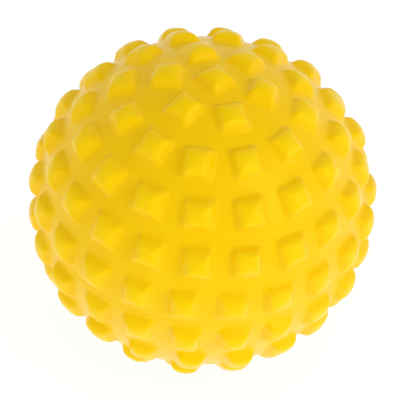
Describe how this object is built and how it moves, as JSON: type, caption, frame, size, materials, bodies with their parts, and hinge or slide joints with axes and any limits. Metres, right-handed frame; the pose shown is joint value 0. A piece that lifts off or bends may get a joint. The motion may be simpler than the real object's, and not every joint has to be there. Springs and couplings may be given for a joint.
{
  "type": "spiky ball",
  "caption": "Hollow soft-rubber ball covered in rings of blunt square studs, moulded as two halves that are cemented at the equator, with a needle valve plug inside.",
  "frame": {"origin": "Centre of the ball", "axes": "+Z is the pole axis, through the single stud that the rings surround; -Y is the side that faces the viewer"},
  "size_m": [0.0996, 0.0998, 0.1],
  "materials": {
    "yellow_rubber": "smooth satin soft rubber, warm yellow",
    "cured_cement": "satin cured rubber cement",
    "plug_rubber": "matte soft rubber, off-white"
  },
  "bodies": {
    "root": {"upper_half_shell": "yellow_rubber", "lower_half_shell": "yellow_rubber", "seam_cement": "cured_cement", "valve_plug": "plug_rubber"}
  },
  "joints": []
}
